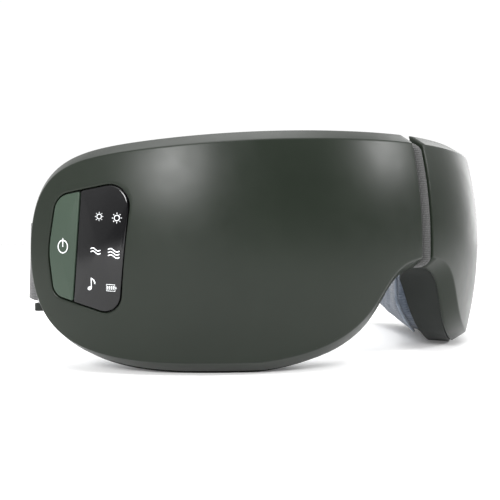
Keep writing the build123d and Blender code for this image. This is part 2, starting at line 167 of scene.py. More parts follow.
def outline_sides(inset, foot, depth, centre_inset=0.0):
    """Foot, temple end, top and centre of one half at a depth, as lists of 3-D points."""
    end = HALF_ARC - inset
    top = TOP_CENTRE - inset
    corner = TOP_TEMPLE - inset
    side = CENTRE_GAP + centre_inset
    play = FOLD_PLAY + centre_inset

    def centre_gap(point):
        """Positive on the half's own side of the centre plane and of the fold plane."""
        ahead = -point.x - side
        fold = -point.x * cos(FOLD_HALF) - (point.y - HINGE_Y) * sin(FOLD_HALF) - play
        return min(ahead, fold)

    crest_end = on_draw(span(108.0, TEMPLE), corner, depth, TEMPLE)
    first, middle, last = span(-25.0, TEMPLE), span(45.0, TEMPLE), span(108.0, TEMPLE)
    crest_circle = circle_through((first, top), (middle, top - 0.8), (last, corner))

    def crest(arc):
        """Point of the top edge at a length along the face."""
        z = top
        for _ in range(4):
            radius = crown_radius(depth, z)
            turn = arc / PLAN_R
            along = cos(TEMPLE) * radius * sin(turn) + sin(TEMPLE) * (PLAN_R - radius * cos(turn))
            z = height_on(crest_circle, along)
        return on_face(arc, z, depth)

    shoulder_points = [
        (span(108.0, TEMPLE), corner),
        (span(130.0, TEMPLE), corner - 2.8),
        (span(end, TEMPLE), corner - 6.4),
        (span(end, TEMPLE), END_Z),
    ]
    heel_points = [
        (span(88.0, TEMPLE), foot),
        (span(126.0, TEMPLE), foot),
        (span(end, TEMPLE), 12.0),
        (span(end, TEMPLE), END_Z),
    ]
    arch_points = [
        (0.0, ARCH_TOP + inset),
        (ARCH_SHOULDER + inset, ARCH_TOP + inset),
        (ARCH_WAIST + inset, foot + ARCH_LIFT),
        (ARCH_HALF + inset, foot - 1.0),
    ]

    def shoulder(t):
        return on_draw(*bezier(shoulder_points, t), depth, TEMPLE)

    def heel(t):
        return on_draw(*bezier(heel_points, t), depth, TEMPLE)

    def arch(t):
        return on_draw(*bezier(arch_points, t), depth, NOSE)

    arch_start = solve(lambda t: centre_gap(arch(t)), 0.0, 0.9)
    arch_end = solve(lambda t: foot - bezier(arch_points, t)[1], 0.3, 1.0)
    crest_start = solve(lambda arc: centre_gap(crest(arc)), 0.0, 60.0)
    foot_start = arc_of(arch(arch_end))
    foot_begin = on_face(foot_start, foot, depth)

    def foot_line(t):
        target = heel(0.0)
        arc = mix(foot_start, arc_of(target), t)
        return on_face(arc, foot, depth)

    split_heel, split_shoulder = 0.62, 0.42
    n_arch, n_foot = int(ALONG * 0.38), int(ALONG * 0.34)
    n_heel = ALONG - n_arch - n_foot
    low = [arch(mix(arch_start, arch_end, k / n_arch)) for k in range(n_arch)]
    low += [foot_line(k / n_foot) for k in range(n_foot)]
    low += [heel(mix(0.0, split_heel, k / n_heel)) for k in range(n_heel + 1)]
    low[n_arch] = foot_begin
    n_crest = int(ALONG * 0.78)
    n_shoulder = ALONG - n_crest
    high = [crest(mix(crest_start, arc_of(crest_end), k / n_crest)) for k in range(n_crest)]
    high += [shoulder(mix(0.0, split_shoulder, k / n_shoulder)) for k in range(n_shoulder + 1)]
    half = UP // 2
    right = [heel(mix(split_heel, 1.0, k / half)) for k in range(half)]
    right += [shoulder(mix(1.0, split_shoulder, k / (UP - half))) for k in range(UP - half + 1)]
    bottom_arc, bottom_z = arc_of(low[0]), low[0].z
    top_arc, top_z = arc_of(high[0]), high[0].z
    left = [
        on_face(mix(bottom_arc, top_arc, k / UP), mix(bottom_z, top_z, k / UP), depth)
        for k in range(UP + 1)
    ]
    return low, right, high, left


def loop_of(sides):
    """The four sides as one closed loop."""
    low, right, high, left = sides
    return low[:-1] + right[:-1] + high[:0:-1] + left[:0:-1]


def patch(low, right, high, left, depth):
    """Coons patch between four sides, laid on the face surface at a depth."""
    n, m = len(low) - 1, len(left) - 1
    flat = [[(arc_of(p), p.z) for p in side] for side in (low, right, high, left)]
    low_f, right_f, high_f, left_f = flat
    rows = []
    for j in range(m + 1):
        v = j / m
        row = []
        for i in range(n + 1):
            u = i / n
            place = []
            for axis in range(2):
                edge = mix(low_f[i][axis], high_f[i][axis], v) + mix(left_f[j][axis], right_f[j][axis], u)
                corners = mix(
                    mix(low_f[0][axis], low_f[n][axis], u),
                    mix(high_f[0][axis], high_f[n][axis], u),
                    v,
                )
                place.append(edge - corners)
            row.append(on_face(place[0], place[1], depth))
        rows.append(row)
    return rows


# ---- Mesh helpers --------------------------------------------------------------------------------
class Builder:
    """Collects points in millimetres and faces, then makes one smooth object of them."""

    def __init__(self):
        self.points, self.faces, self.uvs = [], [], []

    def add(self, points, uvs=None):
        first = len(self.points)
        self.points += points
        self.uvs += uvs if uvs else [(0.0, 0.0)] * len(points)
        return list(range(first, first + len(points)))

    def grid(self, rows, flip=False):
        ids = [self.add(row) for row in rows]
        for a, b in zip(ids, ids[1:]):
            for k in range(len(a) - 1):
                quad = (a[k], a[k + 1], b[k + 1], b[k])
                self.faces.append(quad[::-1] if flip else quad)
        return ids

    def rings(self, loops, closed=True, flip=False):
        ids = [self.add(loop) for loop in loops]
        for a, b in zip(ids, ids[1:]):
            count = len(a) if closed else len(a) - 1
            for k in range(count):
                n = (k + 1) % len(a)
                quad = (a[k], a[n], b[n], b[k])
                self.faces.append(quad[::-1] if flip else quad)
        return ids

    def cap(self, ids, centre):
        c = self.add([centre])[0]
        for k in range(len(ids)):
            self.faces.append((ids[k], ids[(k + 1) % len(ids)], c))

    def make(self, name, mirror=False, weld=0.02):
        mesh = bpy.data.meshes.new(name)
        side = -1 if mirror else 1
        mesh.from_pydata([(side * p[0] * MM, p[1] * MM, p[2] * MM) for p in self.points], [], self.faces)
        layer = mesh.uv_layers.new(name="UVMap")
        for poly in mesh.polygons:
            for corner in poly.loop_indices:
                layer.data[corner].uv = self.uvs[mesh.loops[corner].vertex_index]
        bm = bmesh.new()
        bm.from_mesh(mesh)
        bmesh.ops.remove_doubles(bm, verts=bm.verts, dist=weld * MM)
        bmesh.ops.dissolve_degenerate(bm, edges=bm.edges, dist=0.001 * MM)
        bmesh.ops.recalc_face_normals(bm, faces=bm.faces)
        bm.to_mesh(mesh)
        bm.free()
        mesh.shade_smooth()
        obj = bpy.data.objects.new(name, mesh)
        bpy.context.scene.collection.objects.link(obj)
        return obj


# ---- Materials -----------------------------------------------------------------------------------
class Paint:
    """A small helper to write a node material."""

    def __init__(self, name):
        self.material = bpy.data.materials.new(name)
        self.material.use_nodes = True
        self.tree = self.material.node_tree
        self.shader = self.tree.nodes["Principled BSDF"]

    def node(self, kind, **values):
        made = self.tree.nodes.new(kind)
        for key, value in values.items():
            setattr(made, key, value)
        return made

    def link(self, a, a_out, b, b_in):
        self.tree.links.new(a.outputs[a_out], b.inputs[b_in])

    def set(self, **values):
        for key, value in values.items():
            self.shader.inputs[key.replace("_", " ")].default_value = value

    def coords(self, kind="Object", scale=(1, 1, 1)):
        coord = self.node("ShaderNodeTexCoord")
        mapping = self.node("ShaderNodeMapping")
        mapping.inputs["Scale"].default_value = scale
        self.link(coord, kind, mapping, "Vector")
        return mapping

    def noise(self, scale, detail=3.0, source=None):
        noise = self.node("ShaderNodeTexNoise")
        noise.inputs["Scale"].default_value = scale
        noise.inputs["Detail"].default_value = detail
        self.link(source or self.coords(), "Vector", noise, "Vector")
        return noise

    def ramp(self, source, out, stops, to=None, to_in=None):
        ramp = self.node("ShaderNodeValToRGB")
        ramp.color_ramp.elements[0].position = stops[0][0]
        ramp.color_ramp.elements[0].color = (*stops[0][1], 1)
        ramp.color_ramp.elements[1].position = stops[-1][0]
        ramp.color_ramp.elements[1].color = (*stops[-1][1], 1)
        for place, colour in stops[1:-1]:
            ramp.color_ramp.elements.new(place).color = (*colour, 1)
        self.link(source, out, ramp, "Fac")
        if to is not None:
            self.link(ramp, "Color", to, to_in)
        return ramp

    def bump(self, source, out, strength, distance, chain=None):
        bump = self.node("ShaderNodeBump")
        bump.inputs["Strength"].default_value = strength
        bump.inputs["Distance"].default_value = distance * MM
        self.link(source, out, bump, "Height")
        if chain is not None:
            self.link(chain, "Normal", bump, "Normal")
        self.link(bump, "Normal", self.shader, "Normal")
        return bump

    def roughness(self, source, out, low, high):
        spread = self.node("ShaderNodeMapRange")
        spread.inputs["To Min"].default_value = low
        spread.inputs["To Max"].default_value = high
        self.link(source, out, spread, "Value")
        self.link(spread, "Result", self.shader, "Roughness")


def moulded(name, dark, light, rough, grain=0.25, grain_scale=2600.0, coat=0.0, specular=0.5):
    """Moulded plastic: fine grain, faint cloudiness in colour and gloss."""
    paint = Paint(name)
    cloud = paint.noise(38.0, 4.0)
    paint.ramp(cloud, "Fac", [(0.3, dark), (0.7, light)], paint.shader, "Base Color")
    paint.roughness(paint.noise(160.0, 5.0), "Fac", rough - 0.05, rough + 0.05)
    paint.bump(paint.noise(grain_scale, 2.0), "Fac", grain, 0.02)
    paint.set(Coat_Weight=coat, Coat_Roughness=0.25, Specular_IOR_Level=specular)
    return paint.material


shell_paint = moulded(
    "shell_satin", (0.0085, 0.0120, 0.0080), (0.0105, 0.0145, 0.0098), 0.34, 0.12, 3200.0, 0.0, 0.24,
)
key_paint = moulded(
    "key_satin", (0.026, 0.042, 0.029), (0.030, 0.048, 0.033), 0.42, 0.2, 3200.0, 0.0, 0.3,
)
frame_paint = moulded(
    "frame_black", (0.006, 0.008, 0.0066), (0.009, 0.011, 0.0095), 0.62, 0.4, 1500.0, 0.0, 0.25,
)
hinge_paint = moulded("hinge_black", (0.014, 0.014, 0.014), (0.02, 0.02, 0.02), 0.45, 0.3)
groove_paint = moulded("groove_black", (0.004, 0.004, 0.004), (0.006, 0.006, 0.006), 0.55)
white_paint = moulded("pump_white", (0.58, 0.58, 0.56), (0.66, 0.66, 0.64), 0.45)
guide_paint = moulded("guide_milky", (0.75, 0.76, 0.76), (0.82, 0.83, 0.83), 0.3)
rubber_paint = moulded("rubber", (0.012, 0.012, 0.012), (0.02, 0.02, 0.02), 0.7)
bladder_paint = moulded("bladder_film", (0.22, 0.24, 0.27), (0.28, 0.30, 0.33), 0.35)
film_paint = moulded("heating_film", (0.42, 0.16, 0.03), (0.50, 0.20, 0.04), 0.25)
board_paint = moulded("board_green", (0.01, 0.09, 0.035), (0.015, 0.12, 0.045), 0.3)
cell_paint = moulded("cell_foil", (0.32, 0.35, 0.38), (0.40, 0.43, 0.46), 0.35)


def metal(name, colour, rough):
    paint = Paint(name)
    paint.set(Metallic=1.0)
    streak = paint.noise(90.0, 6.0, paint.coords(scale=(1, 1, 14)))
    low = tuple(c * 0.85 for c in colour)
    paint.ramp(streak, "Fac", [(0.3, low), (0.7, colour)], paint.shader, "Base Color")
    paint.roughness(streak, "Fac", rough - 0.08, rough + 0.08)
    return paint.material


steel_paint = metal("steel", (0.55, 0.55, 0.56), 0.32)
brass_paint = metal("brass", (0.72, 0.55, 0.25), 0.3)


def gloss_lens():
    """Deep black display window with the faintest smudges."""
    paint = Paint("lens_gloss")
    paint.ramp(paint.noise(60.0), "Fac", [(0.3, (0.003, 0.003, 0.0035)), (0.7, (0.005, 0.005, 0.0055))],
               paint.shader, "Base Color")
    paint.roughness(paint.noise(220.0, 6.0), "Fac", 0.06, 0.13)
    paint.set(Specular_IOR_Level=0.3, Coat_Weight=0.1, Coat_Roughness=0.04)
    return paint.material


lens_paint = gloss_lens()


def icon_white():
    paint = Paint("icon_white")
    paint.ramp(paint.noise(900.0), "Fac", [(0.3, (0.72, 0.75, 0.76)), (0.7, (0.80, 0.82, 0.83))],
               paint.shader, "Base Color")
    paint.set(Roughness=0.5)
    return paint.material


icon_paint = icon_white()


def cover_fabric():
    """Slate woven cover: fine plain weave from two crossed waves, mottled yarn, soft sheen."""
    paint = Paint("pad_weave")
    coords = paint.coords()
    mottle = paint.noise(420.0, 4.0, coords)
    base = paint.ramp(mottle, "Fac", [(0.25, (0.060, 0.078, 0.108)), (0.75, (0.115, 0.140, 0.185))])
    paint.link(base, "Color", paint.shader, "Base Color")
    weave = []
    for direction in ("X", "Z"):
        wave = paint.node("ShaderNodeTexWave", bands_direction=direction)
        wave.inputs["Scale"].default_value = 310.0
        wave.inputs["Distortion"].default_value = 0.6
        wave.inputs["Detail"].default_value = 1.0
        paint.link(coords, "Vector", wave, "Vector")
        weave.append(wave)
    both = paint.node("ShaderNodeMath", operation="MULTIPLY")
    paint.link(weave[0], "Fac", both, 0)
    paint.link(weave[1], "Fac", both, 1)
    first = paint.bump(both, "Value", 0.6, 0.25)
    paint.bump(paint.noise(70.0, 3.0, coords), "Fac", 0.25, 0.8, first)
    paint.set(Roughness=0.92, Sheen_Weight=0.35, Sheen_Roughness=0.5)
    return paint.material


pad_paint = cover_fabric()


def piping_fabric():
    paint = Paint("piping")
    paint.ramp(paint.noise(500.0), "Fac", [(0.3, (0.16, 0.19, 0.24)), (0.7, (0.26, 0.30, 0.36))],
               paint.shader, "Base Color")
    paint.bump(paint.noise(1500.0), "Fac", 0.5, 0.15)
    paint.set(Roughness=0.85, Sheen_Weight=0.3)
    return paint.material


piping_paint = piping_fabric()


def ribbed(name, dark, light, across, along, depth):
    """Knit or woven elastic on a UV laid out in millimetres: ribs one way, stitches the other."""
    paint = Paint(name)
    coords = paint.coords("UV")
    ribs = []
    for direction, pitch in (("X", across), ("Y", along)):
        wave = paint.node("ShaderNodeTexWave", bands_direction=direction)
        wave.inputs["Scale"].default_value = 0.314 / pitch
        wave.inputs["Distortion"].default_value = 0.25
        wave.inputs["Detail Scale"].default_value = 2.0
        paint.link(coords, "Vector", wave, "Vector")
        ribs.append(wave)
    dots = paint.node("ShaderNodeMath", operation="MULTIPLY")
    paint.link(ribs[0], "Fac", dots, 0)
    paint.link(ribs[1], "Fac", dots, 1)
    paint.ramp(dots, "Value", [(0.0, dark), (0.9, light)], paint.shader, "Base Color")
    first = paint.bump(dots, "Value", 0.8, depth)
    paint.bump(paint.noise(900.0), "Fac", 0.3, 0.1, first)
    paint.set(Roughness=0.85, Sheen_Weight=0.2, Sheen_Roughness=0.5)
    return paint.material


strap_paint = ribbed("strap_elastic", (0.010, 0.010, 0.011), (0.045, 0.046, 0.050), 1.1, 0.9, 0.25)
strip_paint = ribbed("strip_knit", (0.002, 0.002, 0.002), (0.014, 0.015, 0.014), 0.62, 0.62, 0.2)


def dress(obj, material):
    obj.data.materials.clear()
    obj.data.materials.append(material)
    return obj


# ---- Front shells --------------------------------------------------------------------------------
PANEL_CORNERS = [(83.0, 60.6), (109.8, 56.0), (112.4, 38.5), (110.8, 24.4), (87.4, 17.8)]
PANEL_ROUNDS = [7.0, 6.0, 30.0, 5.0, 6.0]
PANEL_CENTRE = (97.5, 39.5)
DIVIDER_TOP = (100.6, 57.6)
DIVIDER_FOOT = (103.4, 22.3)
SPLIT_ARC = 97.0        # the face left of this column is one patch, the temple end runs round the panel


def rounded_outline(corners, radii, steps=14):
    """Corners of a convex polygon rounded by tangent arcs, as a list of points."""
    points = []
    for k, corner in enumerate(corners):
        here = Vector(corner)
        back = (Vector(corners[k - 1]) - here).normalized()
        ahead = (Vector(corners[(k + 1) % len(corners)]) - here).normalized()
        half = back.angle(ahead) / 2
        centre = here + (back + ahead).normalized() * (radii[k] / sin(half))
        start = here + back * (radii[k] / tan(half)) - centre
        stop = here + ahead * (radii[k] / tan(half)) - centre
        turn = start.angle_signed(stop)
        for step in range(steps + 1):
            angle = -turn * step / steps
            points.append(centre + Vector((
                start.x * cos(angle) - start.y * sin(angle),
                start.x * sin(angle) + start.y * cos(angle),
            )))
    return points


def shrunk(corners, amount):
    """Convex polygon with every side moved inward."""
    moved = []
    for k, corner in enumerate(corners):
        here = Vector(corner)
        back = (Vector(corners[k - 1]) - here).normalized()
        ahead = (Vector(corners[(k + 1) % len(corners)]) - here).normalized()
        half = back.angle(ahead) / 2
        moved.append(tuple(here + (back + ahead).normalized() * (amount / sin(half))))
    return moved


def ray_point(outline, centre, direction):
    """Where a ray from the centre leaves a convex outline."""
    for a, b in zip(outline, outline[1:] + outline[:1]):
        edge = b - a
        cross = direction.x * edge.y - direction.y * edge.x
        if abs(cross) < 1e-9:
            continue
        off = a - centre
        reach = (off.x * edge.y - off.y * edge.x) / cross
        place = (off.x * direction.y - off.y * direction.x) / cross
        if reach > 0 and -1e-6 <= place <= 1 + 1e-6:
            return centre + direction * reach
    raise ValueError("the ray leaves no outline")


def panel_loop(outer, amount):
    """Points of the panel outline, grown by amount: one for each outer point, seen from the centre."""
    corners = shrunk(PANEL_CORNERS, -amount)
    outline = rounded_outline(corners, [r + amount for r in PANEL_ROUNDS])
    centre = Vector(PANEL_CENTRE)
    found = []
    for point in outer:
        direction = (Vector((span(arc_of(point), TEMPLE), point.z)) - centre).normalized()
        found.append(ray_point(outline, centre, direction))
    return found


def lay(points, depth):
    return [on_draw(p.x, p.y, depth, TEMPLE) for p in points]


# Inset, depth and centre inset of the loops from the face edge to the back of the rim band
RIM_LOOPS = [
    (BEVEL_IN + 0.55, 0.0, 0.6),
    (BEVEL_IN + 0.26, 0.015, 0.3),
    (BEVEL_IN + 0.08, 0.07, 0.1),
    (BEVEL_IN - 0.06, 0.16, 0.0),
    (BEVEL_IN - 0.22, 0.32, 0.0),
    (BEVEL_IN * 0.55, BEVEL_DEEP * 0.45, 0.0),
    (BEVEL_IN * 0.1, BEVEL_DEEP * 0.9, 0.0),
    (0.07, BEVEL_DEEP - 0.03, 0.0),
    (0.0, BEVEL_DEEP + 0.2, 0.0),
    (0.0, RIM_BACK - 0.2, 0.0),
    (0.08, RIM_BACK - 0.04, 0.0),
    (0.3, RIM_BACK, 0.05),
    (1.8, RIM_BACK, 0.6),
    (2.0, RIM_BACK - 0.2, 0.8),
    (3.6, 2.6, 1.2),
]


def front_shell(name, mirror, with_panel):
    built = Builder()
    loops = [outline_sides(inset, RIM_FOOT + inset, depth, centre) for inset, depth, centre in RIM_LOOPS]
    low, right, high, left = loops[0]
    if with_panel:
        arcs_low = [arc_of(p) for p in low]
        arcs_high = [arc_of(p) for p in high]
        cut_low = min(range(len(low)), key=lambda k: abs(arcs_low[k] - SPLIT_ARC))
        cut_high = min(range(len(high)), key=lambda k: abs(arcs_high[k] - SPLIT_ARC))
        column = [
            on_face(
                mix(arcs_low[cut_low], arcs_high[cut_high], k / UP),
                mix(low[cut_low].z, high[cut_high].z, k / UP),
            )
            for k in range(UP + 1)
        ]
        count = max(cut_low, cut_high)
        low_part = resample(low[:cut_low + 1], count)
        high_part = resample(high[:cut_high + 1], count)
        built.grid(patch(low_part, column, high_part, left, 0.0))
        around = low[cut_low:-1] + right[:-1] + high[:cut_high:-1] + column[:0:-1]
        inner = panel_loop(around, 0.55)
        rings = [around]
        flat_outer = [Vector((span(arc_of(p), TEMPLE), p.z)) for p in around]
        for step in (0.25, 0.5, 0.75, 0.92, 1.0):
            rings.append(lay([a.lerp(b, step) for a, b in zip(flat_outer, inner)], 0.0))
        for grow, depth in ((0.3, 0.05), (0.12, 0.18), (0.0, 0.42), (0.0, 2.0)):
            rings.append(lay(panel_loop(around, grow), depth))
        built.rings(rings)
    else:
        built.grid(patch(low, right, high, left, 0.0))
    built.rings([loop_of(sides) for sides in loops])
    obj = built.make(name, mirror)
    dress(obj, shell_paint)
    return obj


def resample(points, count):
    """The same line with count equal steps in length."""
    lengths = [0.0]
    for a, b in zip(points, points[1:]):
        lengths.append(lengths[-1] + (b - a).length)
    made = []
    place = 0
    for k in range(count + 1):
        goal = lengths[-1] * k / count
        while place < len(lengths) - 2 and lengths[place + 1] < goal:
            place += 1
        step = lengths[place + 1] - lengths[place]
        made.append(points[place].lerp(points[place + 1], (goal - lengths[place]) / step if step else 0.0))
    return made


left_shell = front_shell("left_shell_skin", False, True)
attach(left_shell, "left_half")
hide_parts("left_front_shell")
right_shell = front_shell("right_shell_skin", True, False)
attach(right_shell, "right_half")
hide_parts("right_front_shell")


# ---- Lens, key and icons -------------------------------------------------------------------------
PANEL_LINE = 0.4        # groove between the panel's pieces and their seat
DIVIDER_HALF = 0.22     # half of the line between lens and key
GROOVE_DEPTH = 1.98
GROOVE_GROW = 0.3
SLAB_DEPTH = 0.8        # underside of lens and key, behind the face
SLAB_EDGE = 0.6         # width of their softly rounded edge
LEAST_ROUND = 0.15
INK_SINK = 0.06         # lens and key lie this far below the face


def inlay(name, corners, radii, material, body, node, depth=INK_SINK):
    """A slab of the panel whose top follows the face, with a softly rounded edge."""
    built = Builder()
    middle = Vector((sum(c[0] for c in corners) / len(corners), sum(c[1] for c in corners) / len(corners)))
    loops = []
    side_and_edge = (
        (0.0, SLAB_DEPTH),
        (0.0, depth + 0.4),
        (0.08, depth + 0.14),
        (0.28, depth + 0.02),
        (SLAB_EDGE, depth),
    )
    for inset, sink in side_and_edge:
        outline = rounded_outline(shrunk(corners, inset), [max(r - inset, LEAST_ROUND) for r in radii])
        loops.append(lay(outline, sink))
    rim = rounded_outline(shrunk(corners, SLAB_EDGE), [max(r - SLAB_EDGE, LEAST_ROUND) for r in radii])
    for step in (0.12, 0.25, 0.4, 0.55, 0.7, 0.85):
        loops.append(lay([p.lerp(middle, step) for p in rim], depth))
    ids = built.rings(loops)
    built.cap(ids[-1], on_draw(middle.x, middle.y, depth, TEMPLE))
    obj = dress(built.make(name, weld=0.002), material)
    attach(obj, body)
    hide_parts(node)
    return obj


def toward(a, b, shift):
    """The divider's end, moved sideways by shift."""
    return (a[0] + shift, a[1])


lens_corners = [
    PANEL_CORNERS[0],
    toward(DIVIDER_TOP, DIVIDER_FOOT, DIVIDER_HALF),
    toward(DIVIDER_FOOT, DIVIDER_TOP, DIVIDER_HALF),
    PANEL_CORNERS[4],
]
key_corners = [
    toward(DIVIDER_TOP, DIVIDER_FOOT, -DIVIDER_HALF),
    PANEL_CORNERS[1],
    PANEL_CORNERS[2],
    PANEL_CORNERS[3],
    toward(DIVIDER_FOOT, DIVIDER_TOP, -DIVIDER_HALF),
]
lens_skin = inlay("lens_skin", shrunk(lens_corners, PANEL_LINE), [6.6, 0.7, 0.7, 5.6], lens_paint,
                  "left_half", "display_lens")
key_skin = inlay("key_skin", shrunk(key_corners, PANEL_LINE), [0.7, 5.6, 29.0, 4.6, 0.7], key_paint,
                 "power_key", "power_key")

groove = Builder()
groove_outline = rounded_outline(shrunk(PANEL_CORNERS, -GROOVE_GROW), [r + GROOVE_GROW for r in PANEL_ROUNDS])
groove_middle = Vector(PANEL_CENTRE)
groove_rings = [
    lay([p.lerp(groove_middle, step) for p in groove_outline], GROOVE_DEPTH)
    for step in (0, 0.3, 0.6, 0.85)
]
groove_ids = groove.rings(groove_rings)
groove.cap(groove_ids[-1], on_draw(groove_middle.x, groove_middle.y, GROOVE_DEPTH, TEMPLE))
groove_floor = dress(groove.make("panel_groove_floor"), groove_paint)
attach(groove_floor, "left_half")


WAVE_DROP = 0.12        # how much a wave mark falls to the right
WAVE_STEPS = 24
RING_STEPS = 40


class Icon(Builder):
    """Flat marks printed on the panel, drawn in millimetres round a centre and laid on the face."""

    def __init__(self, arc, z, lift=0.02):
        super().__init__()
        self.centre = (span(arc, TEMPLE), z)
        self.lift = lift

    def lay_point(self, x, y):
        return on_draw(self.centre[0] - x, self.centre[1] + y, INK_SINK - self.lift, TEMPLE)

    def stroke(self, line, width, closed=False):
        """A ribbon along a list of (x, y) points."""
        count = len(line)
        sides = []
        for k, (x, y) in enumerate(line):
            ahead = line[(k + 1) % count] if closed or k < count - 1 else line[k]
            back = line[k - 1] if closed or k > 0 else line[k]
            dx, dy = ahead[0] - back[0], ahead[1] - back[1]
            size = hypot(dx, dy)
            nx, ny = -dy / size * width / 2, dx / size * width / 2
            sides.append((self.lay_point(x + nx, y + ny), self.lay_point(x - nx, y - ny)))
        ids = self.add([p for pair in sides for p in pair])
        for k in range(count if closed else count - 1):
            n = (k + 1) % count
            self.faces.append((ids[2 * k], ids[2 * k + 1], ids[2 * n + 1], ids[2 * n]))

    def disc(self, x, y, radius_x, radius_y=None, tilt=0.0, steps=28):
        radius_y = radius_y or radius_x
        rim = []
        for k in range(steps):
            a = 2 * pi * k / steps
            px, py = radius_x * cos(a), radius_y * sin(a)
            turned_x = x + px * cos(tilt) - py * sin(tilt)
            turned_y = y + px * sin(tilt) + py * cos(tilt)
            rim.append(self.lay_point(turned_x, turned_y))
        self.cap(self.add(rim), self.lay_point(x, y))

    def ring(self, x, y, radius, width, stretch=1.0):
        turns = [2 * pi * k / RING_STEPS for k in range(RING_STEPS)]
        line = [(x + radius * cos(turn), y + stretch * radius * sin(turn)) for turn in turns]
        self.stroke(line, width, closed=True)

    def rays(self, near, far, width, count=8):
        for k in range(count):
            a = 2 * pi * k / count
            self.stroke([(near * cos(a), near * sin(a)), (far * cos(a), far * sin(a))], width)

    def wave(self, y, length, width, bow):
        """A lying wave that drops slightly to the right."""
        line = []
        for k in range(WAVE_STEPS + 1):
            x = length * (k / WAVE_STEPS - 0.5)
            line.append((x, y + bow * sin(2 * pi * k / WAVE_STEPS) - WAVE_DROP * x))
        self.stroke(line, width)

    def done(self, name, body="left_half"):
        obj = dress(self.make(name, weld=0.0005), icon_paint)
        thick = obj.modifiers.new("Thickness", "SOLIDIFY")
        thick.thickness = 0.03 * MM
        thick.offset = 0
        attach(obj, body)
        return obj


low_light = Icon(114.6, 49.2)
low_light.ring(0, 0, 0.75, 0.22)
low_light.rays(1.08, 1.4, 0.2)
low_light.done("icon_low_light")

high_light = Icon(108.7, 48.7)
high_light.ring(0, 0, 0.85, 0.25)
high_light.rays(1.2, 1.65, 0.22)
high_light.done("icon_high_light")

low_wave = Icon(115.7, 38.6)
for height in (-0.48, 0.48):
    low_wave.wave(height, 3.4, 0.34, 0.38)
low_wave.done("icon_low_wave")

high_wave = Icon(109.6, 37.9)
for height in (-0.95, 0.0, 0.95):
    high_wave.wave(height, 3.8, 0.36, 0.4)
high_wave.done("icon_high_wave")

music = Icon(117.2, 28.4)
music.disc(-0.85, -1.35, 0.75, 0.55, 0.35)
music.stroke([(-0.22, -1.3), (-0.22, 1.9)], 0.3)
music.stroke([(-0.3, 1.8), (0.5, 1.35), (1.0, 0.6), (0.95, 0.0)], 0.42)
music.done("icon_music")

battery = Icon(110.9, 27.3)
battery.stroke([(-1.4, -0.9), (1.4, -1.05), (1.4, 0.95), (-1.4, 1.1)], 0.2, closed=True)
for k in range(4):
    battery.stroke([(-0.98 + 0.65 * k, -0.55), (-0.98 + 0.65 * k, 0.6)], 0.38)
battery.stroke([(1.72, -0.35), (1.72, 0.3)], 0.26)
battery.done("icon_battery")

power = Icon(127.4, 39.9)
power.ring(0, 0, 1.75, 0.34, 1.12)
power.stroke([(0, -0.1), (0, 2.6)], 0.34)
power.done("icon_power", "power_key")

# ---- CAD pieces that keep their shape ------------------------------------------------------------
CAD_PAINT = {
    "left_inner_frame": frame_paint, "right_inner_frame": frame_paint,
    "left_strap_lug": frame_paint, "right_strap_lug": frame_paint,
    "left_hinge_leaf": hinge_paint, "right_hinge_leaf": hinge_paint,
    "hinge_pin": steel_paint, "left_strap_pin": steel_paint, "right_strap_pin": steel_paint,
    "left_screws": steel_paint, "right_screws": steel_paint, "charge_socket": steel_paint,
    "left_vibration_motor": steel_paint, "right_vibration_motor": steel_paint,
    "left_motor_weight": brass_paint, "right_motor_weight": brass_paint,
    "air_pump_body": white_paint, "pump_rotor": white_paint, "release_valve": white_paint,
    "light_guide": guide_paint, "panel_seal": rubber_paint, "tact_switch": hinge_paint,
    "left_speaker": hinge_paint, "right_speaker": hinge_paint,
    "display_board": board_paint, "main_board": board_paint, "battery_cell": cell_paint,
    "left_air_bladder": bladder_paint, "right_air_bladder": bladder_paint,
    "left_heating_film": film_paint, "right_heating_film": film_paint,
}
for node_name, material in CAD_PAINT.items():
    dress(nodes[node_name], material)
for node_name in ("left_inner_frame", "right_inner_frame", "left_strap_lug", "right_strap_lug"):
    edge = nodes[node_name].modifiers.new("Rounded edges", "BEVEL")
    edge.width = 0.35 * MM
    edge.segments = 2
    edge.limit_method = "ANGLE"
    edge.angle_limit = radians(35)
    edge.harden_normals = True

# ---- Face pads -----------------------------------------------------------------------------------
# Inset and depth of the loops round a pad, from its base on the frame to its crown
PAD_LOOPS = [
    (5.6, 19.9), (4.4, 20.3), (3.9, 21.6), (3.75, 23.6), (4.0, 26.4), (4.7, 28.9), (6.2, 30.6), (8.6, 31.3),
]


PAD_FOOT = 3.0          # height of the pad's lower edge
PAD_CENTRE = 0.4        # the pad comes this much closer to the centre than to its other sides


def pad_outline(inset, depth):
    return outline_sides(inset, PAD_FOOT + inset - PAD_INSET, depth, inset - PAD_CENTRE)


def face_pad(name, mirror):
    """Cushion that follows the wearer's face, built full; inflate() then works on it."""
    built = Builder()
    loops = [pad_outline(inset, depth) for inset, depth in PAD_LOOPS]
    built.grid(patch(*loops[0], PAD_LOOPS[0][1]), flip=True)
    built.rings([loop_of(sides) for sides in loops])
    built.grid(patch(*loops[-1], PAD_LOOPS[-1][1]))
    return built.make(name, mirror)


def tube_depth(point):
    """Depth behind the face of a point in metres, measured from the upright axis."""
    return PLAN_R - hypot(point.x / MM, AXIS_Y - point.y / MM)


VOXEL = 2.6             # grid of the remeshed pad
BASE_BAND = 1.4         # depth of the pad's base that is held still
PUFF_CAP = 1.2          # furthest that the pressure may push a point
PUFF_FRAMES = 20
PUFF_PRESSURE = 4.0
BASE_LIFT = 0.1         # clearance between the pad and the frame


